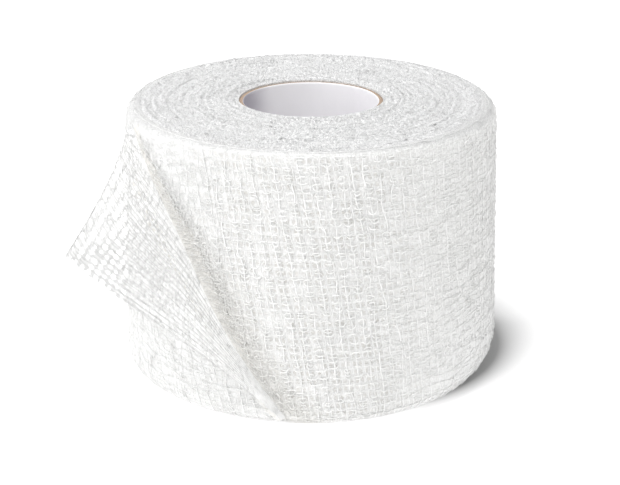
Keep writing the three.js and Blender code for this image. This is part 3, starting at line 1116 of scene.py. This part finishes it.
def build_fold_fibres():
    """The yarns that climb the outside of the fold, with curly fibres over them."""
    batch = Batch()
    n, steps = 52, 14
    start = np.linspace(0.05, 0.99, n)[:, None] + rng.normal(0, 0.004, (n, 1))
    share = np.linspace(0, 1, steps)[None, :]
    u = np.clip(start - 0.05 * share + wander(n, steps, 5, 0.004), 0.01, 1)
    lay_on_corner(batch, u, lerp(*BAND_SPAN, share) + 0 * u, 0.1 + wander(n, steps, 6, 0.06), 0.09)
    n, steps = 620, 8
    across, up = curls(n, steps, 1.5, 3.4)
    u = np.clip(rng.uniform(0.02, 0.99, (n, 1)) + up / CREST_LENGTH, 0.01, 1)
    v = np.clip(rng.uniform(BAND_SPAN[0], -0.04, (n, 1)) + across / BAND_LENGTH, BAND_SPAN[0], 0)
    lay_on_corner(batch, u, v, 0.08 + wander(n, steps, 4, 0.08), rng.uniform(0.045, 0.07, (n, 1)))
    return batch.piece("fold_fibres", FOLD_YARN)


# The core

CORE_STEPS = 160
CARD_LIP = 0.12
LINER = 0.16


def lathe(profile):
    """A profile of radius and height turned about the roll's axis."""
    azimuth = evenly_round(CORE_STEPS)
    profile = np.array(profile)
    points = outward(azimuth)[:, None, :] * profile[None, :, :1]
    points[..., 2] = profile[None, :, 1]
    return points


def build_core():
    """The card tube's two bare rims, and its liner paper from rim to rim."""
    outer = BORE_RADIUS + CORE_WALL
    inside = BORE_RADIUS + LINER
    card = Batch()
    for end, way in ((CORE_BASE, -1), (CORE_TOP, 1)):
        rim = [(outer, end - 2 * way), (outer, end - CARD_LIP * way)]
        rim += [(outer - CARD_LIP, end), (inside, end)]
        card.grid(lathe(rim)[:, ::way], around=True)
    lining = Batch()
    profile = [(inside, CORE_TOP - 0.3), (inside, CORE_TOP + 0.02)]
    profile += [(inside - 0.05, CORE_TOP + 0.06), (BORE_RADIUS, CORE_TOP)]
    profile += [(BORE_RADIUS, z) for z in np.linspace(CORE_TOP - 0.4, CORE_BASE + 0.4, 12)]
    profile += [(BORE_RADIUS, CORE_BASE), (inside - 0.05, CORE_BASE - 0.06), (inside, CORE_BASE + 0.3)]
    lining.grid(lathe(profile), around=True)
    return card.piece("core_card", CARD), lining.piece("core_lining", LINING)


side = build_side()
top = build_top()
base = build_base()
uprights = build_uprights()
rows = build_rows()
rim = build_rim()
loops = build_loops()
wisps = build_wisps()
bristles = build_bristles()
corner = build_corner_cloth()
strands = build_corner_strands()
fold_fibres = build_fold_fibres()
card, lining = build_core()

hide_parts("wound_roll")
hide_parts("loose_end")
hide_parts("core_tube")


# The floor, the light and the camera

FLOOR_HALF = 3.0
# The floor's glow and tone in the open and in its painted shadow
FLOOR_GLOW = {"lit": 0.7, "shade": 0.049}
FLOOR_TONE = {"lit": 0.57, "shade": 0.36}
SHADE_CENTRE = {"x": 4.0, "y": 10.4}
SHADE_RADIUS = 42.6
SHADE_DEPTH = 0.62
ROOM_LIGHT = 0.73


def floor_finish():
    """A glowing table with a painted shadow at the right of the roll, where its glow and tone drop."""
    finish = Finish("lit table")
    x, y, _ = finish.place()
    distance = from_axis(x - SHADE_CENTRE["x"], y - SHADE_CENTRE["y"])
    softness = (y * 0.117 + 5.5).larger(1.2)
    fading = (0 - (distance - SHADE_RADIUS) / softness).math("EXPONENT")
    at_right = x.between(8.0, 26.0) * (1 - y.between(15.0, 25.0) * 0.2)
    clear_of_bore = distance.between(28.0, 38.0)
    # The painted shadow
    shade = fading * SHADE_DEPTH * at_right * clear_of_bore
    glow = finish.blend(shade, (FLOOR_GLOW["lit"],) * 3, (FLOOR_GLOW["shade"],) * 3)
    tone = finish.blend(shade, (FLOOR_TONE["lit"],) * 3, (FLOOR_TONE["shade"],) * 3)
    return finish.feed(Emission_Color=glow, Emission_Strength=1.0, Base_Color=tone)


floor_mesh = bpy.data.meshes.new("floor")
corners = [(x * FLOOR_HALF, y * FLOOR_HALF, 0) for x, y in ((-1, -1), (1, -1), (1, 1), (-1, 1))]
floor_mesh.from_pydata(corners, [], [(0, 1, 2, 3)])
floor_mesh.materials.append(floor_finish())
floor = add_object("floor", floor_mesh)

world = bpy.data.worlds.new("soft room")
world.use_nodes = True
room = world.node_tree.nodes["Background"].inputs
room["Color"].default_value = (1, 1, 1, 1)
room["Strength"].default_value = ROOM_LIGHT
bpy.context.scene.world = world


def add_sun(name, strength, spread, tilt, azimuth):
    """A far light: tilt is its angle from overhead, and azimuth the side that it comes from."""
    light = bpy.data.lights.new(name, "SUN")
    light.energy = strength
    light.angle = math.radians(spread)
    add_object(name, light).rotation_euler = (math.radians(tilt), 0, math.radians(azimuth))


add_sun("key", strength=1.85, spread=30, tilt=22, azimuth=-52)
add_sun("fill", strength=0.5, spread=90, tilt=66, azimuth=-60)
add_sun("left", strength=0.68, spread=50, tilt=72, azimuth=-98)

# Where the photograph was taken from, and the pixel where the roll's middle stands
PITCH = math.radians(19.64)
DISTANCE = 400.0
FOCAL_PIXELS = 1790.7
PHOTO = {"width": 620, "height": 485}
MIDDLE_PIXEL = {"x": 311.0, "y": 227.7}
SENSOR = 36.0
lens = bpy.data.cameras.new("camera")
lens.sensor_width = SENSOR
lens.lens = FOCAL_PIXELS * SENSOR / PHOTO["width"]
lens.shift_x = (PHOTO["width"] / 2 - MIDDLE_PIXEL["x"]) / PHOTO["width"]
lens.shift_y = (MIDDLE_PIXEL["y"] - PHOTO["height"] / 2) / PHOTO["width"]
lens.clip_start = 0.01
camera = add_object("camera", lens)
target = AXIS + np.array([0, 0, WIDTH / 2])
camera.location = (target + DISTANCE * np.array([0, -math.cos(PITCH), math.sin(PITCH)])) * MM
camera.rotation_euler = (math.pi / 2 - PITCH, 0, 0)
bpy.context.scene.camera = camera
bpy.context.scene.view_settings.view_transform = "Standard"
